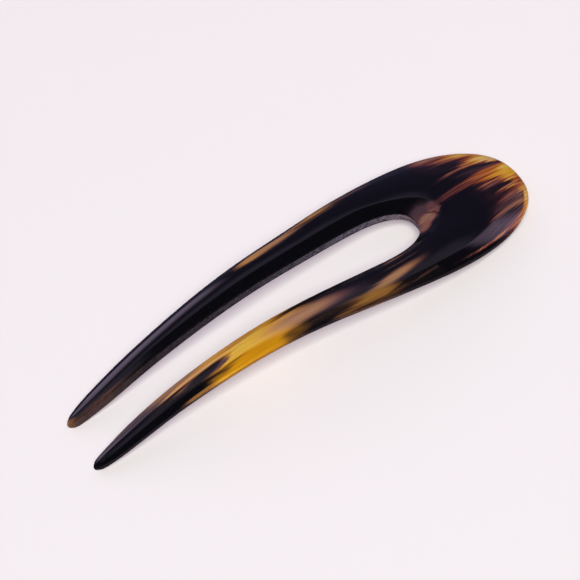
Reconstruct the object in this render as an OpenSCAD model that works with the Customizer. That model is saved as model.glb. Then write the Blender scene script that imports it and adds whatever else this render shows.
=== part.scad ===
// French hair pin: one piece of polished horn, with two prongs that taper from a broad head.
// X runs from the tips of the prongs to the head, Y runs across the pin and Z is up.
// The pin lies bow upwards on its two tips and on the end of its head, as it does on a table.
// The origin is on the table, under the middle of the pin.

/* [Outline] */
// Length of the slot between the prongs, from the tips to its round end
slot_l = 104.4; // [80:0.2:130]
// Length of the head beyond the slot
head_l = 30.6; // [22:0.2:40]
// Width of the head where it is widest
head_w = 40.4; // [34:0.2:46]
// Width of one prong where it meets the head
prong_w = 11.6; // [8:0.1:12.5]
// Length of the slot's round end
slot_end_l = 14; // [10:0.5:18]
// Length over which the tip of a prong rounds off
tip_l = 2.4; // [1.5:0.1:4]

/* [Bow and thickness] */
// Rise of the bow between the tips and the end of the head
bow_h = 10.4; // [4:0.2:16]
// Thickness of the head beside the slot
body_t = 4.3; // [3.6:0.1:5.5]
// Thickness that the crown of the head loses towards its end
head_thin = 0.3; // [0:0.1:1]

/* [Edges] */
// Width of the bevel round the slot
slot_bevel_w = 3; // [1.5:0.1:3.6]
// Depth of the bevel round the slot
slot_bevel_d = 1.8; // [0.8:0.1:2.2]
// Length of the bevel's point, past the round end of the slot
bevel_point_l = 6.7; // [3:0.1:8]
// Width of the sloping rim along the outside of the prongs
rim_w = 2.6; // [1.5:0.1:3.5]
// Width of the sloping rim at the end of the head
rim_end_w = 9.2; // [4:0.1:10]
// Height of the upright edge of the rim
rim_edge_h = 0.5; // [0.3:0.1:1.5]
// Height of the rounding under the rim of the prongs
rim_under_h = 2.2; // [0.8:0.1:2.6]
// Height of the rounding under the rim at the end of the head
end_under_h = 1.8; // [0.4:0.1:2.2]
// Width of the rounding under the rim
rim_under_w = 1.8; // [1:0.1:2.5]
// Rounding of the slot's lower edge
slot_under_r = 0.3; // [0.3:0.1:0.8]

/* [Fineness] */
// Cross sections along the body of one prong
prong_steps = 34; // [20:1:40]
// Cross sections round one side of the head
head_steps = 18; // [12:1:22]
// Cross sections round the tip of one prong
tip_steps = 6; // [4:1:8]

/* [Hidden] */

pin_l = slot_l + head_l;
slot_end_x = slot_l - slot_end_l;

// Columns of the section table
AT = 0;       // place along the slot, as a share of slot_l from the tips
OUTER = 1;    // outer edge from the middle line, as a share of half of head_w
WIDE = 2;     // width of the prong, as a share of prong_w
THICK = 3;    // thickness, as a share of body_t
BEVEL_W = 4;  // width of the slot's bevel, as a share of slot_bevel_w
BEVEL_D = 5;  // depth of the slot's bevel, as a share of slot_bevel_d
RIM = 6;      // width of the sloping rim, as a share of rim_w

// One row for each section from the tip of a prong to the head.
// The last row is past the slot, so that the outline runs level where it is widest.
SECTIONS = [
    [0.00, 0.46, 0.15, 0.78, 0.35, 0.18, 0.45],
    [0.05, 0.54, 0.35, 0.81, 0.45, 0.20, 0.54],
    [0.13, 0.59, 0.50, 0.84, 0.63, 0.22, 0.66],
    [0.28, 0.65, 0.62, 0.88, 0.73, 0.30, 0.76],
    [0.46, 0.73, 0.75, 0.91, 0.80, 0.56, 0.78],
    [0.66, 0.83, 0.86, 0.96, 0.90, 0.74, 0.74],
    [0.86, 0.96, 1.00, 1.05, 1.00, 0.95, 0.70],
    [1.00, 1.00, 1.07, 1.04, 1.00, 1.00, 0.66],
    [1.14, 0.96, 1.00, 1.04, 1.00, 1.00, 0.66],
];

// Columns of the bow table: place as a share of pin_l, and rise as a share of bow_h
RISE = 1;
BOW = [
    [0.00, 0.00],
    [0.20, 0.69],
    [0.40, 1.00],
    [0.60, 0.83],
    [0.80, 0.45],
    [1.00, 0.00],
];

// Squareness of two outlines: 2 is an ellipse, and more is squarer
head_square = 2.3;
slot_square = 2.5;

// A bevel or rim takes no more than this share of a narrow section
edge_share = 0.42;
// A polished ridge between two faces is rounded over this distance to either side,
// or over this share of a narrow section
ridge_half = 0.16;
ridge_share = 0.08;
// The crown rises over the straight line between its two ridges by this share of its width
crown_share = 0.035;
// The shoulder at the outer end of the crown is this much lower than its inner end
shoulder_drop = 0.17;
// Length over which a slope is measured
slope_step = 0.1;
// How suddenly the slot's bevel runs out into its point
point_power = 4;
// Turn of the first section at a tip, where the small end face is
first_turn = 12;

// Places of the corners within a face, as shares of its width
CROWN_AT = [0.25, 0.5, 0.75];
// Hollow of the slot's bevel: share of its width, and share of its rise there
BEVEL_BEND = [0.55, 0.52];
// Roundings, each as a share of the width and a share of the fall
RIM_BENDS = [[0.4, 0.36], [0.74, 0.69]];
UNDER_BEND = [0.6, 0.7];
SLOT_BEND = [0.35, 0.35];

// Steepness of a table's column at row i
function steepness(rows, c, i) =
    let (before = rows[max(i - 1, 0)], after = rows[min(i + 1, len(rows) - 1)])
    (after[c] - before[c]) / (after[AT] - before[AT]);

// The smooth value of column c at place s
function along(rows, c, s) =
    let (
        i = max([for (k = [0:len(rows) - 2]) if (k == 0 || s >= rows[k][AT]) k]),
        from = rows[i],
        to = rows[i + 1],
        gap = to[AT] - from[AT],
        u = min(max((s - from[AT]) / gap, 0), 1),
        uu = u * u,
        uuu = uu * u
    )
    (2 * uuu - 3 * uu + 1) * from[c] + (uuu - 2 * uu + u) * gap * steepness(rows, c, i)
        + (3 * uu - 2 * uuu) * to[c] + (uuu - uu) * gap * steepness(rows, c, i + 1);

function bow(x) = bow_h * along(BOW, RISE, x / pin_l);
function bow_slope(x) = (bow(x + slope_step) - bow(x - slope_step)) / (2 * slope_step);

// Distance of the outer edge from the middle line
function outer_y(x) =
    x <= slot_l
        ? head_w / 2 * along(SECTIONS, OUTER, x / slot_l)
        : head_w / 2 * pow(max(1 - pow((x - slot_l) / head_l, head_square), 0), 1 / head_square);

// Distance of the slot's edge from the middle line
function inner_y(x) = outer_y(x) - prong_w * along(SECTIONS, WIDE, x / slot_l);

// Parts of a section: its end at the slot, its end at the outline,
// how far it is round the head from 0 to 1, and how full it is, which falls to 0 at the tip
AT_SLOT = 0;
AT_OUTLINE = 1;
ROUND_HEAD = 2;
FULL = 3;

function tip_section(turn) =
    let (
        x = tip_l * (1 - cos(turn)),
        full = sin(turn),
        middle = (inner_y(x) + outer_y(x)) / 2,
        half = (outer_y(x) - inner_y(x)) / 2 * full
    )
    [[x, middle - half], [x, middle + half], 0, full];

function prong_section(share) =
    let (x = tip_l + (slot_end_x - tip_l) * share)
    [[x, inner_y(x)], [x, outer_y(x)], 0, 1];

function head_section(turn) =
    let (
        inner_x = slot_end_x + slot_end_l * pow(sin(turn), 2 / slot_square),
        inner = inner_y(slot_end_x) * pow(max(cos(turn), 0), 2 / slot_square),
        outer_x = slot_end_x + (pin_l - slot_end_x) * sin(turn)
    )
    [[inner_x, inner], [outer_x, outer_y(outer_x)], sin(turn), 1];

HALF = concat(
    [for (i = [0:tip_steps - 1]) tip_section(first_turn + (90 - first_turn) * i / tip_steps)],
    [for (i = [0:prong_steps - 1]) prong_section(i / prong_steps)],
    [for (i = [0:head_steps]) head_section(90 * i / head_steps)]
);

// Rise of the crown over its straight line, as a share of its width
function crown(u) = 4 * crown_share * u * (1 - u);

// The corners of a section, as distance from the slot's edge and height over the middle surface
function corners(section) =
    let (
        share = min(section[AT_SLOT].x / slot_l, 1),
        round_head = section[ROUND_HEAD],
        full = section[FULL],
        w = norm(section[AT_OUTLINE] - section[AT_SLOT]),
        top = body_t / 2 * along(SECTIONS, THICK, share) * full,
        base = -top,
        edge_most = edge_share * w,
        ridge = min(ridge_half, ridge_share * w),
        point = (bevel_point_l - slot_bevel_w) * pow(round_head, point_power),
        bevel_w = min(slot_bevel_w * along(SECTIONS, BEVEL_W, share) + point, edge_most),
        bevel_d = slot_bevel_d * along(SECTIONS, BEVEL_D, share) * full,
        bevel_fall = ridge * bevel_d / bevel_w,
        wall_top = top - bevel_d,
        wall_base = base + slot_under_r * full,
        spread = (rim_end_w - rim_w) * round_head,
        rim = min(rim_w * along(SECTIONS, RIM, share) + spread, edge_most),
        crown_w = w - rim - bevel_w,
        shoulder = top - (shoulder_drop + head_thin * round_head) * full,
        under_h = rim_under_h - (rim_under_h - end_under_h) * round_head,
        edge_base = base + under_h * full,
        edge_top = min(edge_base + rim_edge_h * full, shoulder - ridge * full),
        fall = shoulder - edge_top,
        rim_fall = ridge * fall / rim,
        under = min(rim_under_w, edge_most),
        slot_under = min(slot_under_r, edge_most)
    )
    [
        // Wall of the slot
        [0, wall_base],
        [0, (wall_base + wall_top) / 2],
        [0, wall_top - bevel_fall],
        // Bevel from the wall to the ridge round the slot
        [ridge, wall_top + bevel_fall],
        [bevel_w * BEVEL_BEND[0], wall_top + bevel_d * BEVEL_BEND[1]],
        [bevel_w - ridge, top - bevel_fall],
        // Crown from that ridge to the shoulder
        [bevel_w + ridge, top],
        for (u = CROWN_AT) [bevel_w + crown_w * u, top + (shoulder - top) * u + crown(u) * crown_w],
        [w - rim - ridge, shoulder],
        // Sloping rim from the shoulder to the upright edge
        [w - rim + ridge, shoulder - rim_fall],
        for (bend = RIM_BENDS) [w - rim * (1 - bend[0]), shoulder - fall * bend[1]],
        [w - ridge / 2, edge_top],
        [w, (edge_top + edge_base) / 2],
        [w - ridge, edge_base],
        // Rounding under the edge, and the underside
        [w - under * (1 - UNDER_BEND[0]), base + (edge_base - base) * (1 - UNDER_BEND[1])],
        [w - under, base],
        [w / 2, base],
        [slot_under, base],
        [slot_under * SLOT_BEND[0], base + (wall_base - base) * SLOT_BEND[1]],
    ];

// A corner's place on the bowed middle surface
function placed(section, corner) =
    let (
        across = section[AT_OUTLINE] - section[AT_SLOT],
        level = section[AT_SLOT] + across / norm(across) * corner[0],
        slope = bow_slope(level.x),
        lean = sqrt(1 + slope * slope)
    )
    [level.x - corner[1] * slope / lean, level.y, bow(level.x) + corner[1] / lean];

UPPER = [for (section = HALF) [for (corner = corners(section)) placed(section, corner)]];
LOWER = [for (i = [len(UPPER) - 2:-1:0]) [for (p = UPPER[i]) [p.x, -p.y, p.z]]];
RINGS = concat(UPPER, LOWER);
LOOSE = [for (ring = RINGS) each ring];

// The pin is leant and lowered until its tips and the end of its head touch the table
tip_low = min([for (p = LOOSE) if (p.x < pin_l / 2) p.z]);
head_low = min([for (p = LOOSE) if (p.x > pin_l / 2) p.z]);
LEANT = [for (p = LOOSE) [p.x, p.y, p.z - tip_low - (head_low - tip_low) * p.x / pin_l]];
table_z = min([for (p = LEANT) p.z]);
middle_x = (min([for (p = LEANT) p.x]) + max([for (p = LEANT) p.x])) / 2;
POINTS = [for (p = LEANT) p - [middle_x, 0, table_z]];

// Faces round the ring of sections, with a small flat face on each tip
ring_n = len(RINGS[0]);
last_ring = (len(RINGS) - 1) * ring_n;
FACES = concat(
    [
        for (r = [0:len(RINGS) - 2], k = [0:ring_n - 1])
            let (a = r * ring_n + k, b = r * ring_n + (k + 1) % ring_n)
            each [[a, b + ring_n, a + ring_n], [a, b, b + ring_n]]
    ],
    [[for (k = [ring_n - 1:-1:0]) k]],
    [[for (k = [0:ring_n - 1]) last_ring + k]]
);

module pin() {
    color([0.13, 0.08, 0.07])
        polyhedron(points = POINTS, faces = FACES, convexity = 6);
}

pin();
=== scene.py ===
from math import cos, pi, radians, sin

import bmesh
import bpy
from mathutils import Matrix, Vector


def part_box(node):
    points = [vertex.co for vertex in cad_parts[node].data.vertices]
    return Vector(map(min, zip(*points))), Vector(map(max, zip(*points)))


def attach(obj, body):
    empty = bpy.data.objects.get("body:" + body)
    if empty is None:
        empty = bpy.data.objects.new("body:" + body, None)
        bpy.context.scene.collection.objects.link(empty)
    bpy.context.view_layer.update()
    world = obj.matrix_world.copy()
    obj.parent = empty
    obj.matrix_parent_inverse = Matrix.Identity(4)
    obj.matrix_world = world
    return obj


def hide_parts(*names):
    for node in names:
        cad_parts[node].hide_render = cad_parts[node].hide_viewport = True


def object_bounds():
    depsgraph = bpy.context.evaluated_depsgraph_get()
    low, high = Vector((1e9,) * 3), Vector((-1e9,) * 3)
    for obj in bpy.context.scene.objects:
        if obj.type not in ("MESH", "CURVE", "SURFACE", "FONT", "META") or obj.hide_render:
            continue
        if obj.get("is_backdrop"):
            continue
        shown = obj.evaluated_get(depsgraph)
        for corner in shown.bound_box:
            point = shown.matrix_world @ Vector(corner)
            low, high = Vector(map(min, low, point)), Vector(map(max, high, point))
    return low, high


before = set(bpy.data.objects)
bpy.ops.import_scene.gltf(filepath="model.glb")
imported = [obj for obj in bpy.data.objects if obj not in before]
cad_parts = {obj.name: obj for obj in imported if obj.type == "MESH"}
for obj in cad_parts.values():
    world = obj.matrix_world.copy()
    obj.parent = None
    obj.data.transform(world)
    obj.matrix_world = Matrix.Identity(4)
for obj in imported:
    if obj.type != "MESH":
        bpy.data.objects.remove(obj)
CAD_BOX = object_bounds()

# A french hair pin of polished horn: the finish of the horn, the table and the studio light.
# X runs from the tips of the prongs to the head, Y across the pin and Z up. Lengths named _MM and
# the places of the horn's paint are in millimetres, and all other lengths are in metres.
MM = 0.001

# The head's outline is an ellipse with full shoulders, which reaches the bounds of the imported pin
_, PIN_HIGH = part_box("pin")
HEAD_MIDDLE_MM = 36.9
HEAD_LENGTH_MM = PIN_HIGH.x / MM - HEAD_MIDDLE_MM
HEAD_HALF_WIDTH_MM = PIN_HIGH.y / MM
HEAD_SQUARE = 2.3


# Camera

# The camera looks down on the pin from beside its lower prong, a little turned
CAMERA_AZIMUTH = -10.265
CAMERA_ELEVATION = 49.221
CAMERA_ROLL = 24.055
CAMERA_TARGET = Vector((0, 0.00474, 0.005))
CAMERA_DISTANCE = 0.6
SENSOR_WIDTH_MM = 36
LENS_MM = 142.93


def towards(azimuth, elevation):
    """The level direction at an azimuth from +X towards +Y, raised by an elevation, both in degrees."""
    a, e = radians(azimuth), radians(elevation)
    return Vector((cos(a) * cos(e), sin(a) * cos(e), sin(e)))


def make_camera():
    back = towards(CAMERA_AZIMUTH - 90, CAMERA_ELEVATION)
    right = towards(CAMERA_AZIMUTH, 0)
    up = back.cross(right)
    turn = radians(CAMERA_ROLL)
    across = right * cos(turn) - up * sin(turn)
    upward = right * sin(turn) + up * cos(turn)
    data = bpy.data.cameras.new("camera")
    data.lens = LENS_MM
    data.sensor_width = SENSOR_WIDTH_MM
    camera = bpy.data.objects.new("camera", data)
    place = Matrix((across, upward, back)).transposed().to_4x4()
    place.translation = CAMERA_TARGET + back * CAMERA_DISTANCE
    camera.matrix_world = place
    bpy.context.scene.collection.objects.link(camera)
    bpy.context.scene.camera = camera


# Shader maths

class Signal:
    """A socket of a shader tree. Arithmetic on it adds Math nodes."""

    def __init__(self, tree, socket):
        self.tree = tree
        self.socket = socket

    def math(self, operation, *values):
        return node(self.tree, "ShaderNodeMath", {"operation": operation}, dict(enumerate(values)))

    def __add__(self, other):
        return self.math("ADD", self, other)

    def __radd__(self, other):
        return self.math("ADD", other, self)

    def __sub__(self, other):
        return self.math("SUBTRACT", self, other)

    def __rsub__(self, other):
        return self.math("SUBTRACT", other, self)

    def __mul__(self, other):
        return self.math("MULTIPLY", self, other)

    def __rmul__(self, other):
        return self.math("MULTIPLY", other, self)

    def __truediv__(self, other):
        return self.math("DIVIDE", self, other)

    def __pow__(self, other):
        return self.math("POWER", self, other)


def node(tree, kind, settings, inputs, output=0):
    """Adds a node with its settings and the values or links of its sockets, and returns an output."""
    made = tree.nodes.new(kind)
    for name, value in settings.items():
        if name == "stops":
            set_stops(made.color_ramp, value)
        else:
            setattr(made, name, value)
    for key, value in inputs.items():
        if isinstance(value, Signal):
            tree.links.new(value.socket, made.inputs[key])
        else:
            made.inputs[key].default_value = value
    return Signal(tree, made.outputs[output]) if made.outputs else None


def set_stops(ramp, stops):
    """Gives a ramp its stops, a list of places and colours."""
    while len(ramp.elements) < len(stops):
        ramp.elements.new(1)
    for element, (place, colour) in zip(ramp.elements, stops):
        element.position = place
        element.color = colour


def smooth(value, start, end, low=0, high=1):
    """A smooth step of a value from low at start to high at end."""
    settings = {"interpolation_type": "SMOOTHSTEP"}
    inputs = {"Value": value, "From Min": start, "From Max": end, "To Min": low, "To Max": high}
    return node(value.tree, "ShaderNodeMapRange", settings, inputs)


def mix_colours(factor, first, second):
    inputs = {0: factor, 6: first, 7: second}
    return node(factor.tree, "ShaderNodeMix", {"data_type": "RGBA"}, inputs, 2)


def mix_values(factor, first, second):
    inputs = {0: factor, 2: first, 3: second}
    return node(factor.tree, "ShaderNodeMix", {"data_type": "FLOAT"}, inputs, 0)


def vector_math(operation, *values, output=0):
    """A Vector Math node on vectors, of which the first is a socket."""
    tree = values[0].tree
    return node(tree, "ShaderNodeVectorMath", {"operation": operation}, dict(enumerate(values)), output)


def vector_part(vector, axis):
    """The part of a vector along X, Y or Z."""
    return node(vector.tree, "ShaderNodeSeparateXYZ", {}, {0: vector}, axis)


def flattened(vector):
    """A vector without its height."""
    return vector_math("MULTIPLY", vector, (1, 1, 0))


def channel(colour, name):
    """The red or green of a colour."""
    return node(colour.tree, "ShaderNodeSeparateColor", {}, {0: colour}, name)


def ramp(value, stops):
    """The colour that the stops give a value."""
    return node(value.tree, "ShaderNodeValToRGB", {"stops": stops}, {"Fac": value}, "Color")


def noise(place, scale, detail):
    inputs = {"Vector": place, "Scale": scale, "Detail": detail}
    return node(place.tree, "ShaderNodeTexNoise", {}, inputs, "Fac")


def attribute(tree, name):
    """A value that the points of the piece carry."""
    return node(tree, "ShaderNodeAttribute", {"attribute_name": name}, {}, "Fac")


def shade(red, green, blue):
    """A colour given as a paint chart gives it, from 0 to 255, in the renderer's linear light."""
    parts = [part / 255 for part in (red, green, blue)]
    return (*[p / 12.92 if p <= 0.04045 else ((p + 0.055) / 1.055) ** 2.4 for p in parts], 1)


# Horn

# How the horn's colour goes from full pigment, at 0, to none, at 1. The head is redder than the
# prongs, and milky horn is paler and less yellow than either.
HEAD_STOPS = [
    (0.00, shade(6, 5, 6)),
    (0.15, shade(34, 14, 13)),
    (0.30, shade(94, 33, 15)),
    (0.45, shade(152, 70, 18)),
    (0.60, shade(194, 109, 16)),
    (0.75, shade(208, 148, 12)),
    (0.88, shade(218, 178, 50)),
    (1.00, shade(232, 204, 140)),
]
PRONG_STOPS = [
    (0.00, shade(6, 5, 6)),
    (0.15, shade(28, 19, 13)),
    (0.30, shade(70, 46, 18)),
    (0.45, shade(122, 84, 24)),
    (0.60, shade(178, 122, 14)),
    (0.75, shade(208, 148, 12)),
    (0.88, shade(218, 178, 50)),
    (1.00, shade(232, 204, 140)),
]
MILKY_STOPS = [
    (0.00, shade(9, 8, 11)),
    (0.15, shade(44, 34, 39)),
    (0.30, shade(90, 58, 58)),
    (0.45, shade(130, 92, 77)),
    (0.60, shade(163, 123, 92)),
    (0.75, shade(194, 152, 106)),
    (0.88, shade(210, 174, 128)),
    (1.00, shade(228, 206, 176)),
]

# Streaks of the horn, painted one after another over dark horn, as on the real piece.
# Columns: place along and across the pin, half length, half width (all in mm), turn in degrees,
# softness of the edge from 0 to 1, how clear the horn is there, and how milky.
HEAD_STREAKS = [
    # Dim glow of the thin end and rims
    (66.0, 2.0, 9.0, 12.0, 0, 1.0, 0.26, 0.35),
    (57.0, 14.0, 9.0, 4.0, -12, 1.0, 0.3, 0.3),
    (59.5, -11.5, 8.0, 3.2, 30, 1.0, 0.36, 0.95),
    # Far rim
    (50.8, 17.4, 5.5, 1.5, -6, 0.9, 0.52, 0.75),
    (57.6, 14.8, 4.2, 1.7, -14, 0.9, 0.86, 0.1),
    (53.5, 14.2, 3.0, 0.7, -2, 1.0, 0.5, 0.4),
    (52.8, 15.9, 4.2, 0.5, -4, 0.9, 0.24, 0.0),
    (61.5, 12.7, 2.0, 0.9, -35, 0.9, 0.72, 0.3),
    (57.0, 12.4, 4.0, 0.9, -4, 0.9, 0.4, 0.0),
    (54.0, 11.5, 5.0, 1.2, 0, 0.9, 0.05, 0.1),
    (61.8, 10.0, 4.0, 1.4, 2, 1.0, 0.93, 0.15),
    (57.5, 9.0, 3.2, 0.8, 12, 1.0, 0.58, 0.3),
    (53.0, 8.2, 5.0, 0.5, 10, 1.0, 0.4, 0.6),
    (64.5, 8.6, 1.8, 1.2, -30, 0.9, 0.88, 0.5),
    (61.5, 7.1, 6.0, 0.55, -6, 0.9, 0.08, 0.1),
    (60.0, 6.1, 6.5, 0.8, 0, 1.0, 0.16, 0.7),
    # End
    (64.0, 3.0, 7.0, 2.6, 5, 0.9, 0.68, 0.0),
    (57.0, 2.9, 7.0, 1.1, 9, 1.0, 0.55, 0.25),
    (49.8, 1.8, 6.5, 1.1, 8, 1.0, 0.32, 0.4),
    (65.5, 1.2, 3.0, 1.4, 0, 0.9, 0.8, 0.05),
    (66.2, 4.2, 2.0, 1.2, 0, 0.9, 0.84, 0.1),
    (58.0, 2.2, 4.5, 0.22, 9, 0.9, 0.36, 0.1),
    (61.0, 4.0, 3.5, 0.22, 8, 0.9, 0.45, 0.0),
    (59.0, 0.6, 4.0, 0.3, 8, 0.9, 0.2, 0.2),
    (59.8, -0.1, 3.2, 0.35, 9, 1.0, 0.5, 0.6),
    (59.0, -1.2, 3.2, 0.35, 9, 1.0, 0.36, 0.9),
    (65.5, -0.9, 2.2, 0.6, 6, 0.9, 0.7, 0.2),
    (62.3, -2.1, 3.6, 0.55, 8, 0.8, 0.06, 0.3),
    (65.8, -2.1, 1.3, 0.6, 5, 0.8, 0.55, 0.0),
    (59.5, -3.4, 2.6, 0.7, 10, 1.0, 0.04, 0.2),
    (62.8, -3.2, 3.4, 0.35, 14, 0.9, 0.55, 0.65),
    (65.0, -3.6, 2.0, 0.5, 8, 0.9, 0.66, 0.4),
    (62.9, -4.6, 2.6, 0.5, 10, 0.9, 0.42, 0.0),
    (60.5, -5.2, 3.0, 0.4, 12, 1.0, 0.16, 0.3),
    (62.6, -6.1, 3.2, 0.5, 18, 1.0, 0.45, 0.6),
    (65.4, -5.6, 1.6, 0.9, 40, 0.9, 0.72, 0.4),
    (62.0, -7.8, 3.2, 0.9, 16, 1.0, 0.34, 1.0),
    # Near rim
    (58.6, -9.0, 4.0, 0.5, 14, 1.0, 0.2, 0.9),
    (59.5, -10.5, 5.8, 0.5, 16, 0.9, 0.62, 0.7),
    (57.0, -12.8, 5.5, 1.3, 22, 1.0, 0.12, 1.0),
    # Bevel at the round end of the slot
    (38.2, 0.6, 1.9, 2.0, 0, 1.0, 0.25, 0.8),
    (39.4, 2.2, 2.8, 2.0, 0, 1.0, 0.2, 0.8),
    (42.6, 1.0, 1.8, 1.7, 20, 0.7, 0.27, 0.7),
    (39.9, -1.5, 3.2, 1.8, 8, 0.6, 0.47, 1.0),
    (43.0, -0.9, 1.6, 0.9, 25, 0.6, 0.34, 0.8),
    (37.8, -3.7, 2.2, 1.3, 20, 0.8, 0.42, 0.8),
]

# The same for the prongs
PRONG_STREAKS = [
    # Near prong, from its middle to the head
    (-19.0, -10.3, 17.0, 7.0, 4, 0.5, 0.86, 0.05),
    (-20.0, -13.4, 13.0, 1.5, -5, 0.7, 0.68, 0.0),
    (-22.0, -7.0, 16.0, 1.1, 0, 0.7, 0.72, 0.1),
    (9.0, -12.6, 8.0, 1.7, -5, 1.0, 0.12, 1.0),
    (-2.0, -11.6, 10.0, 2.1, -4, 1.0, 0.58, 0.9),
    (-7.0, -8.4, 4.0, 0.5, 0, 1.0, 0.38, 0.1),
    (-1.0, -7.8, 7.0, 0.7, -3, 0.9, 0.12, 0.2),
    (15.5, -9.4, 7.5, 1.1, -2, 0.6, 0.0, 0.0),
    (25.5, -9.3, 3.6, 0.8, 5, 0.9, 0.42, 0.7),
    (26.0, -11.8, 6.5, 0.4, 5, 0.9, 0.22, 0.2),
    (22.5, -15.2, 9.0, 1.4, 9, 0.9, 0.55, 0.8),
    (14.5, -17.0, 9.0, 1.4, -8, 0.8, 0.47, 0.2),
    (2.5, -15.5, 8.5, 0.75, -5, 0.8, 0.15, 0.2),
    (-6.5, -14.9, 3.5, 0.9, -7, 1.0, 0.36, 0.0),
    (7.0, -17.2, 4.0, 0.3, -6, 0.9, 0.35, 0.2),
    (30.0, -19.2, 8.0, 0.7, 2, 0.8, 0.04, 0.2),
    (29.0, -17.7, 8.0, 0.25, 4, 0.9, 0.04, 0.1),
    (31.0, -18.2, 6.5, 0.3, 5, 0.9, 0.2, 0.4),
    # Near prong, towards its tip
    (-42.0, -6.7, 10.0, 1.1, 0, 0.8, 0.5, 0.4),
    (-56.0, -6.9, 8.0, 0.5, 1, 0.9, 0.28, 0.6),
    (-38.0, -8.1, 7.0, 0.6, 2, 0.9, 0.74, 0.4),
    (-43.0, -9.0, 6.0, 0.4, 2, 0.9, 0.14, 0.2),
    (-36.5, -9.4, 5.0, 0.5, 3, 1.0, 0.42, 0.5),
    (-31.2, -10.0, 6.4, 1.2, 3, 0.7, 0.03, 0.4),
    (-26.5, -10.6, 2.5, 0.5, 10, 0.9, 0.3, 0.9),
    (-46.5, -11.7, 20.0, 1.35, -2.5, 0.4, 0.0, 0.0),
    (-35.0, -13.3, 5.0, 0.4, -4, 0.9, 0.48, 0.3),
    (-29.0, -12.9, 3.5, 0.5, -8, 0.9, 0.5, 0.0),
    (-24.0, -12.0, 4.0, 0.2, -3, 0.9, 0.42, 0.0),
    # Far prong
    (-66.8, 7.6, 3.2, 1.2, -25, 1.0, 0.5, 0.5),
    (-57.0, 6.6, 10.0, 0.8, -3, 1.0, 0.24, 0.4),
    (1.0, 13.5, 8.0, 0.9, 5, 1.0, 0.24, 0.7),
    (-3.8, 13.9, 5.5, 1.1, 5, 1.0, 0.74, 0.35),
    (4.0, 14.7, 9.5, 1.0, 5, 0.9, 0.6, 0.8),
    (5.0, 16.1, 4.5, 0.6, 7, 0.9, 0.16, 0.1),
    (17.0, 16.9, 7.0, 1.3, 6, 1.0, 0.58, 0.45),
    (15.0, 15.4, 7.0, 0.4, 3, 1.0, 0.3, 0.4),
    (27.5, 17.8, 6.5, 0.8, 5, 1.0, 0.3, 0.95),
]

# Painted shade: thin dark lines in the creases of the head, where the polish mirrors no light: its near
# shoulder, and the fold in the bevel. The columns are the same, but the last two are how dark the painted
# shade is and how dull the polish.
HEAD_CREASE_SHADE = [
    (37.0, -16.9, 4.5, 0.2, 1, 0.6, 1, 0),
    (43.5, -16.2, 3.2, 0.2, 10, 0.6, 1, 0),
    (48.3, -14.6, 2.9, 0.2, 23, 0.6, 1, 0),
    (52.1, -12.3, 2.3, 0.2, 37, 0.6, 1, 0),
    (54.2, -10.0, 1.4, 0.2, 72, 0.6, 0.8, 0),
    (41.3, -0.4, 1.2, 0.2, -32, 0.8, 1, 0),
    (42.6, -2.2, 1.5, 0.2, -75, 0.8, 1, 0),
]

# Places on the prongs where the polish is dull, with the columns of the painted crease shade
PRONG_DULL = [
    (-46.0, -6.9, 24.0, 1.1, 0, 0.5, 0, 1),
]


# How far a streak of softness 1 blends in and out over its edge, as a share of its size
STREAK_BLEND = 0.7


def painted(place, rows):
    """The last two columns of the rows, painted streak by streak, as red and green."""
    value = (0.0, 0.0, 0.0, 1.0)
    for x, y, half_length, half_width, turn, softness, first, second in rows:
        inputs = {
            "Vector": place,
            "Location": (x, y, 0),
            "Rotation": (0, 0, radians(turn)),
            "Scale": (half_length, half_width, 1),
        }
        own = node(place.tree, "ShaderNodeMapping", {"vector_type": "TEXTURE"}, inputs)
        out = vector_math("LENGTH", own, output="Value")
        inside = smooth(out, 1 + STREAK_BLEND * softness, 1 - STREAK_BLEND * softness)
        value = mix_colours(inside, value, (first, second, 0, 1))
    return value


# Grain

# Fibres of the head close up towards its end, about a line at this place across the pin, and those
# of the prongs splay a little towards the head. Both are shares for each mm along the pin.
GRAIN_AXIS_MM = 12
GRAIN_CLOSING = 0.0175
PRONG_SPLAY = 0.0047
# The prongs and the head each have a material of their own, which meet where both are dark
HEAD_FROM_MM = 35

# Broad bands that wander, coarse fibres and fine ones. Each has its frequencies along and across the
# grain for each mm, and its detail. All of them swing about the middle of the noise.
BANDS = (0.08, 0.5, 1)
COARSE_FIBRES = (0.05, 1.3, 2)
FINE_FIBRES = (0.05, 3.5, 2)
NOISE_MIDDLE = 0.5

# Fibres pull the streaks out along the grain, and bands push them aside
COARSE_PULL_MM = 6
FINE_PULL_MM = 5
BAND_PUSH_MM = 0.5

# How strongly fibres show in half clear horn, up to the clearness at which they are gone
COARSE_CONTRAST = 2
FINE_CONTRAST = 2.4
FIBRES_GONE = 1.1

# The values given to smooth are where a step starts and ends, and its two levels unless they are
# 0 and 1. Places along and across the pin are in mm.
HEAD_FRAYING = (42, 52, 0.2, 1)
PRONG_FRAYING = 0.4


def grain_noise(grain, along, across, detail):
    """Noise drawn out along the grain, with its frequencies per millimetre."""
    return noise(vector_math("MULTIPLY", grain, (along, across, across)), 1, detail)


def head_grain(along, across):
    """The fibre of the head that a point is on, its slope, and how much it frays the streaks."""
    off_axis = across - GRAIN_AXIS_MM
    closing = (along - HEAD_FROM_MM) * GRAIN_CLOSING
    fibre = off_axis * closing.math("EXPONENT", closing)
    return fibre, off_axis * -GRAIN_CLOSING, smooth(along, *HEAD_FRAYING)


def prong_grain(along, across):
    """The same for the prongs, whose fibres run with them."""
    fibre = across / (along * PRONG_SPLAY + 1)
    return fibre, fibre * PRONG_SPLAY, PRONG_FRAYING


# Rims of the head

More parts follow.
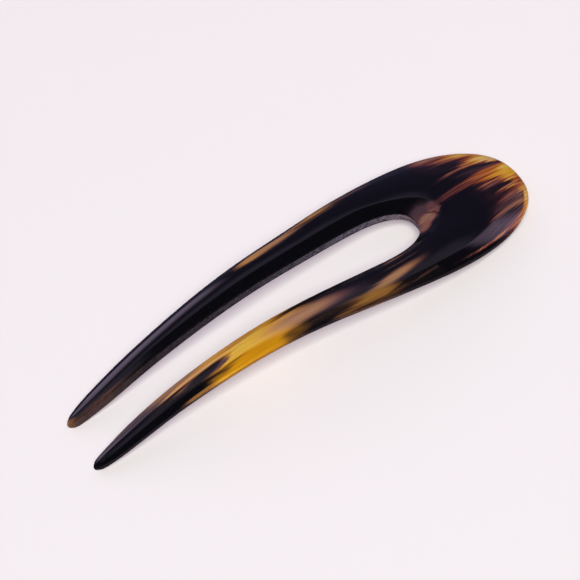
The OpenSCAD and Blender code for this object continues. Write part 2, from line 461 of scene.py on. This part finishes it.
# The line inside the near rim. Its edges are shares of the way out to the outline: where it starts,
# how far beyond that it is full, and how far beyond it ends, but for the part that reaches the outline.
RIM_LINE_ALONG = (34, 46)
RIM_LINE_ACROSS = (-2, -8)
RIM_LINE_START = (50, 62, 0.925, 0.955)
RIM_LINE_FULL = (0, 0.018)
RIM_LINE_END = (0.03, 0.045)
RIM_LINE_ENDS_BEFORE = (60, 54)

# How clear and milky the line is on its way to the head's end
RIM_CLEAR = (36, 52, 0.15, 0.5)
RIM_CLEARER = (61, 65, 0, 0.3)
RIM_FIBRES = 0.4
RIM_MILKY = (50, 60, 0.6, 0.3)

# The thin end itself: all of it is clear, and more so where the horn within is
END_EDGE = (0.98, 1)
END_ALONG = (50, 62)
END_CLEAR = 0.6
END_SHARE_OF_HORN = 0.3
END_MILKY = 0.6


def head_edge(place):
    """How far out a point of the head is, from 0 at its middle to 1 at its outline."""
    from_middle = vector_math("SUBTRACT", place, (HEAD_MIDDLE_MM, 0, 0))
    shares = vector_math("MULTIPLY", from_middle, (1 / HEAD_LENGTH_MM, 1 / HEAD_HALF_WIDTH_MM, 0))
    outward = vector_math("ABSOLUTE", shares)
    along = vector_part(outward, "X")
    across = vector_part(outward, "Y")
    return (along ** HEAD_SQUARE + across ** HEAD_SQUARE) ** (1 / HEAD_SQUARE)


def near_rim(along, across, edge):
    """Where the line of clear horn is that runs inside the near rim and widens to the end."""
    beyond = edge - smooth(along, *RIM_LINE_START)
    past = smooth(beyond, *RIM_LINE_END) * smooth(along, *RIM_LINE_ENDS_BEFORE)
    within = smooth(beyond, *RIM_LINE_FULL) * (1 - past)
    return within * smooth(across, *RIM_LINE_ACROSS) * smooth(along, *RIM_LINE_ALONG)


def lit_rims(place, along, across, coarse, clear, milky):
    """The clearness and milkiness with the thin rims added, which let the table's light through."""
    edge = head_edge(place)
    near = near_rim(along, across, edge)
    rim_clear = smooth(along, *RIM_CLEAR) + smooth(along, *RIM_CLEARER)
    clear = mix_values(near, clear, rim_clear + (coarse - NOISE_MIDDLE) * RIM_FIBRES)
    milky = mix_values(near, milky, smooth(along, *RIM_MILKY))
    end = smooth(edge, *END_EDGE) * smooth(along, *END_ALONG)
    clear = mix_values(end, clear, clear * END_SHARE_OF_HORN + END_CLEAR)
    milky = mix_values(end, milky, END_MILKY)
    return clear, milky


# Wall of the slot

# Its colours, the pale tone of filed horn together with painted reflection of the table, from the tips, at
# 0, to the round end of the slot, at 1
WALL_TONE_AND_SHEEN_STOPS = [
    (0.00, shade(88, 66, 66)),
    (0.25, shade(60, 50, 54)),
    (0.60, shade(78, 74, 86)),
    (0.88, shade(120, 114, 132)),
    (0.97, shade(142, 124, 134)),
]
WALL_FROM_MM = -70
WALL_REACH_MM = 110

# Its filed part stops short of its polished foot and top, by the shares that the points carry
WALL_BORDER = (0.5, 0.62)
WALL_RAGGED = 0.2
CLEAR_OF_FOOT = (0.9, 0.78)
CLEAR_OF_TOP = (0.75, 0.35)

# Spots left by the file, painted pale as file marks with painted glints, which don't show on clear horn
SPOTS_SCALE = 2.4
SPOTS_DETAIL = 3
FILE_MARK_GLINTS_SHOW = (0.4, 0.6, 0.15, 1)
FILE_MARK_GLINTS_FADE = (0.6, 0.3)


def filed_wall(tree, spots):
    """Where the wall of the slot is filed and dull: between its polished foot and top."""
    clear_of_foot = smooth(attribute(tree, "wall_foot"), *CLEAR_OF_FOOT)
    clear_of_top = smooth(attribute(tree, "wall_top"), *CLEAR_OF_TOP)
    share = attribute(tree, "slot_wall") + (spots - NOISE_MIDDLE) * WALL_RAGGED
    return smooth(share, *WALL_BORDER) * (clear_of_foot * clear_of_top)


# Surface

# Painted shade in the creases of the head: its colour, and how far it covers the horn
CREASE_SHADE_COLOUR = shade(18, 7, 9)
CREASE_SHADE_STRENGTH = 0.9

# Roughness of the polish, and what the grain, the filed wall and the dull places add to it
POLISH = 0.08
GRAIN_ROUGHNESS = 0.03
WALL_ROUGHNESS = 0.33
DULL_ROUGHNESS = 0.4

# Heights of the relief in mm: a slow swell of the polished faces, the fibres, and the filed spots
SWELL_SCALE = 0.12
SWELL_HEIGHT_MM = 0.06
FIBRE_HEIGHT_MM = 0.0012
SPOT_HEIGHT_MM = 0.06

# How light bends into horn and spreads in it, red light furthest
HORN_IOR = 1.54
SPREAD_SHARE = 0.25
SPREAD_REACH = 1.5 * MM
SPREAD_BY_COLOUR = (1.0, 0.5, 0.25)


def horn_material(name, stops, streaks, crease_shade_and_dull, grain_of):
    """Polished horn with its streaks, the painted shade in its creases, and the filed wall of the slot with
    file marks and painted glints.
    """
    material = bpy.data.materials.new(name)
    material.use_nodes = True
    tree = material.node_tree
    tree.nodes.clear()
    coordinates = node(tree, "ShaderNodeTexCoord", {}, {}, "Object")
    # From here on, places are in mm
    place = vector_math("MULTIPLY", coordinates, (1 / MM, 1 / MM, 1 / MM))
    along = vector_part(place, "X")
    across = vector_part(place, "Y")

    # Fibres fray the streaks
    fibre, slope, fraying = grain_of(along, across)
    grain = node(tree, "ShaderNodeCombineXYZ", {}, {"X": along, "Y": fibre})
    bands = grain_noise(grain, *BANDS)
    coarse = grain_noise(grain, *COARSE_FIBRES)
    fine = grain_noise(grain, *FINE_FIBRES)
    coarse_swing = coarse - NOISE_MIDDLE
    fine_swing = fine - NOISE_MIDDLE
    pull = (coarse_swing * COARSE_PULL_MM + fine_swing * FINE_PULL_MM) * fraying
    push = pull * slope + (bands - NOISE_MIDDLE) * BAND_PUSH_MM
    shift = node(tree, "ShaderNodeCombineXYZ", {}, {"X": pull, "Y": push})
    chart = painted(flattened(vector_math("ADD", place, shift)), streaks)
    clear, milky = channel(chart, "Red"), channel(chart, "Green")
    clear, milky = lit_rims(place, along, across, coarse, clear, milky)

    # Fibres show most where the horn goes from dark to clear
    half_clear = clear * (FIBRES_GONE - clear)
    clear = clear + (fine_swing * FINE_CONTRAST + coarse_swing * COARSE_CONTRAST) * half_clear * fraying
    colour = mix_colours(milky, ramp(clear, stops), ramp(clear, MILKY_STOPS))

    # Painted shade in the creases, and the dull places, keep clear of the fraying
    crease_shade_and_dull_marks = painted(flattened(place), crease_shade_and_dull)
    colour = mix_colours(channel(crease_shade_and_dull_marks, "Red") * CREASE_SHADE_STRENGTH, colour, CREASE_SHADE_COLOUR)
    dull = channel(crease_shade_and_dull_marks, "Green")

    # The wall of the slot is filed: its pale speckles are file marks with painted glints and painted
    # reflection of the table
    spots = noise(place, SPOTS_SCALE, SPOTS_DETAIL)
    wall = filed_wall(tree, spots)
    filed_tone_and_sheen = ramp((along - WALL_FROM_MM) / WALL_REACH_MM, WALL_TONE_AND_SHEEN_STOPS)
    file_marks_and_glints = smooth(spots, *FILE_MARK_GLINTS_SHOW) * smooth(clear, *FILE_MARK_GLINTS_FADE)
    colour = mix_colours(wall * file_marks_and_glints, colour, filed_tone_and_sheen)

    swell = noise(place, SWELL_SCALE, 0)
    height = swell * SWELL_HEIGHT_MM + fine * FIBRE_HEIGHT_MM + spots * wall * SPOT_HEIGHT_MM
    inputs = {
        "Base Color": colour,
        "Roughness": wall * WALL_ROUGHNESS + POLISH + coarse * GRAIN_ROUGHNESS + dull * DULL_ROUGHNESS,
        "Normal": node(tree, "ShaderNodeBump", {}, {"Height": height, "Distance": MM}),
        "IOR": HORN_IOR,
        "Subsurface Weight": SPREAD_SHARE,
        "Subsurface Radius": SPREAD_BY_COLOUR,
        "Subsurface Scale": SPREAD_REACH,
    }
    surface = node(tree, "ShaderNodeBsdfPrincipled", {}, inputs)
    node(tree, "ShaderNodeOutputMaterial", {}, {"Surface": surface})
    return material


# Shape of the pin

# The slot's wall stands nearly upright. It looks across to the pin's middle line or, beyond this
# place along the pin, back towards the tips.
UPRIGHT = 0.35
LOOKS_BACK = -0.5
SLOT_END_FROM = 30 * MM
# How far up or down a face beside the wall looks, at the least
BESIDE_WALL = 0.2

WELD = 0.002 * MM
# Edges that turn by this much or more stay sharp, and the others are rounded by degrees
FULL_CREASE = radians(30)
# On the upper side, but for the rounded tips, an edge that turns by more than this is a ridge
UPPER_SIDE = 0.3
RIDGE = radians(8)
RIDGE_CREASE = 0.6
TIP_END = -60 * MM


def is_wall(face):
    """Whether a face belongs to the upright wall of the slot."""
    middle = face.calc_center_median()
    upright = abs(face.normal.z) < UPRIGHT
    faces_end = face.normal.x < LOOKS_BACK and middle.x > SLOT_END_FROM
    return upright and (face.normal.y * middle.y < 0 or faces_end)


def wall_share(vertex):
    """How much of the surface round a point is wall."""
    faces = vertex.link_faces
    return sum(is_wall(face) for face in faces) / len(faces)


def borders(vertex, side):
    """Whether a point is on the wall's border with faces that look up, with side 1, or down, with -1."""
    faces = vertex.link_faces
    others = [face for face in faces if not is_wall(face)]
    return len(others) < len(faces) and any(face.normal.z * side > BESIDE_WALL for face in others)


def crease_of(edge):
    """How sharp an edge stays: crisp for ridges of the upper side, and less for the flatter edges."""
    angle = edge.calc_face_angle(0)
    looks_up = all(face.normal.z > UPPER_SIDE for face in edge.link_faces)
    if looks_up and angle > RIDGE and edge.verts[0].co.x > TIP_END:
        return RIDGE_CREASE
    return min(angle / FULL_CREASE, 1) ** 2


def make_pin():
    """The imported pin, with its facets joined into a smooth polished surface."""
    shape = bmesh.new()
    shape.from_mesh(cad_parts["pin"].data)
    bmesh.ops.remove_doubles(shape, verts=shape.verts, dist=WELD)
    bmesh.ops.join_triangles(
        shape,
        faces=shape.faces,
        angle_face_threshold=pi,
        angle_shape_threshold=pi,
        topology_influence=2,
    )
    shape.normal_update()
    wall = shape.verts.layers.float.new("slot_wall")
    foot = shape.verts.layers.float.new("wall_foot")
    top = shape.verts.layers.float.new("wall_top")
    for vertex in shape.verts:
        vertex[wall] = wall_share(vertex)
        vertex[foot] = borders(vertex, -1)
        vertex[top] = borders(vertex, 1)
    crease = shape.edges.layers.float.new("crease_edge")
    for edge in shape.edges:
        edge[crease] = crease_of(edge)
    for face in shape.faces:
        face.material_index = int(face.calc_center_median().x > HEAD_FROM_MM * MM)
    mesh = bpy.data.meshes.new("polished_horn")
    shape.to_mesh(mesh)
    shape.free()
    mesh.shade_smooth()
    piece = bpy.data.objects.new("polished_horn", mesh)
    bpy.context.scene.collection.objects.link(piece)
    finer = piece.modifiers.new("smooth", "SUBSURF")
    finer.levels = finer.render_levels = 2
    prongs = horn_material("horn of the prongs", PRONG_STOPS, PRONG_STREAKS, PRONG_DULL, prong_grain)
    head = horn_material("horn of the head", HEAD_STOPS, HEAD_STREAKS, HEAD_CREASE_SHADE, head_grain)
    mesh.materials.append(prongs)
    mesh.materials.append(head)
    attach(piece, "root")
    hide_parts("pin")


# Floor and light

FLOOR_COLOUR = shade(248, 241, 245)
FLOOR_PAINT = (0.74, 0.78, 0.725, 1)
FLOOR_GLOW_COLOUR = (1.0, 0.7, 0.85, 1)
FLOOR_GLOW = 0.2
FLOOR_HALF = 4
STAGE_ROUGHNESS = 0.9
STAGE_SHEEN = 0.1
BACKDROP_RADIUS = FLOOR_HALF * 0.98
BACKDROP_SIDES = 96
BLACK = (0, 0, 0, 1)


def make_stage_piece(name, shape, base, glow_colour, glow):
    """A piece of the studio, which isn't part of the pin."""
    mesh = bpy.data.meshes.new(name)
    shape.to_mesh(mesh)
    shape.free()
    piece = bpy.data.objects.new(name, mesh)
    bpy.context.scene.collection.objects.link(piece)
    material = bpy.data.materials.new(name)
    material.use_nodes = True
    paint = material.node_tree.nodes["Principled BSDF"]
    paint.inputs["Base Color"].default_value = base
    paint.inputs["Roughness"].default_value = STAGE_ROUGHNESS
    paint.inputs["Specular IOR Level"].default_value = STAGE_SHEEN
    paint.inputs["Emission Color"].default_value = glow_colour
    paint.inputs["Emission Strength"].default_value = glow
    mesh.materials.append(material)
    piece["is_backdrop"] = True
    return piece


def make_floor():
    shape = bmesh.new()
    bmesh.ops.create_grid(shape, x_segments=1, y_segments=1, size=FLOOR_HALF)
    floor = make_stage_piece("floor", shape, FLOOR_PAINT, FLOOR_GLOW_COLOUR, FLOOR_GLOW)
    floor.visible_glossy = False


def make_backdrop():
    """A pale wall all round, which only the camera sees, for low views."""
    shape = bmesh.new()
    bmesh.ops.create_cone(
        shape,
        segments=BACKDROP_SIDES,
        radius1=BACKDROP_RADIUS,
        radius2=BACKDROP_RADIUS,
        depth=FLOOR_HALF * 2,
    )
    wall = make_stage_piece("backdrop", shape, BLACK, FLOOR_COLOUR, 1)
    wall.visible_diffuse = False
    wall.visible_glossy = False
    wall.visible_transmission = False
    wall.visible_shadow = False


# A soft box beside the camera. Only the table and the body of the horn take its light.
SOFT_BOX_PLACE = (-0.69, -3.8, 5.3)
SOFT_BOX_SIZE = 3
SOFT_BOX_BRIGHTNESS = 16
SOFT_BOX_COLOUR = (1.0, 0.97, 0.96)

# The dim room that the polish mirrors, from its dark side to the side of the window. Each light
# in it is bounded by how high, how far behind the pin and how far aside a direction goes, and the
# steps are given to smooth.
ROOM_AXIS = (0.33, 0.88, 0)
ROOM_STOPS = [
    (0.00, (0.030, 0.032, 0.055, 1)),
    (0.45, (0.060, 0.055, 0.130, 1)),
    (0.75, (0.085, 0.075, 0.160, 1)),
    (0.88, (0.100, 0.092, 0.190, 1)),
]
CEILING_GLOW = (0.32, 0.28, 0.42, 1)
CEILING_LOW, CEILING_HIGH = (0.74, 0.81), (0.95, 0.87)
CEILING_BEHIND = (0.02, 0.2)
WINDOW_GLOW = (1.5, 1.18, 1.7, 1)
WINDOW_LOW, WINDOW_HIGH = (0.14, 0.25), (0.71, 0.54)
WINDOW_LEFT, WINDOW_RIGHT = (-0.45, -0.32), (0.36, 0.26)
WINDOW_BEHIND = (0.1, 0.3)
# The azimuth, in degrees, that the sides of the window are measured along
WINDOW_AZIMUTH = 22
LAMP_GLOW = (1.3, 0.95, 1.45, 1)
LAMP_AXIS = (0.692, 0.147, 0.707)
LAMP_RIM = (0.968, 0.998)
# The table as the polish mirrors it, dimmed
TABLE_GLOW = (0.10, 0.08, 0.10, 1)
TABLE_BELOW = (0, -0.5)


def make_soft_box():
    data = bpy.data.lights.new("soft_box", "AREA")
    data.size = SOFT_BOX_SIZE
    data.energy = SOFT_BOX_BRIGHTNESS * pi * SOFT_BOX_SIZE ** 2
    data.color = SOFT_BOX_COLOUR
    light = bpy.data.objects.new("soft_box", data)
    light.location = SOFT_BOX_PLACE
    light.rotation_euler = light.location.to_track_quat("Z", "Y").to_euler()
    light.visible_glossy = False
    light.visible_camera = False
    bpy.context.scene.collection.objects.link(light)


def make_room():
    world = bpy.data.worlds.new("room")
    world.use_nodes = True
    tree = world.node_tree
    tree.nodes.clear()
    direction = node(tree, "ShaderNodeTexCoord", {}, {}, "Generated")

    def along(axis):
        return vector_math("DOT_PRODUCT", direction, axis, output="Value")

    height = along((0, 0, 1))
    behind = along((0, 1, 0))
    aside = along(towards(WINDOW_AZIMUTH, 0))
    colour = ramp(along(ROOM_AXIS), ROOM_STOPS)
    ceiling = smooth(height, *CEILING_LOW) * smooth(height, *CEILING_HIGH) * smooth(behind, *CEILING_BEHIND)
    colour = mix_colours(ceiling, colour, CEILING_GLOW)
    colour = mix_colours(smooth(along(LAMP_AXIS), *LAMP_RIM), colour, LAMP_GLOW)
    window = smooth(height, *WINDOW_LOW) * smooth(height, *WINDOW_HIGH)
    window = window * smooth(aside, *WINDOW_LEFT) * smooth(aside, *WINDOW_RIGHT)
    colour = mix_colours(window * smooth(behind, *WINDOW_BEHIND), colour, WINDOW_GLOW)
    colour = mix_colours(smooth(height, *TABLE_BELOW), colour, TABLE_GLOW)
    light = node(tree, "ShaderNodeBackground", {}, {"Color": colour})
    node(tree, "ShaderNodeOutputWorld", {}, {"Surface": light})
    bpy.context.scene.world = world


make_camera()
make_floor()
make_backdrop()
make_room()
make_soft_box()
make_pin()
bpy.context.scene.view_settings.view_transform = "Standard"

boxes = {"cad": CAD_BOX, "visual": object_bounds()}
{name: [list(corner) for corner in box] for name, box in boxes.items()}
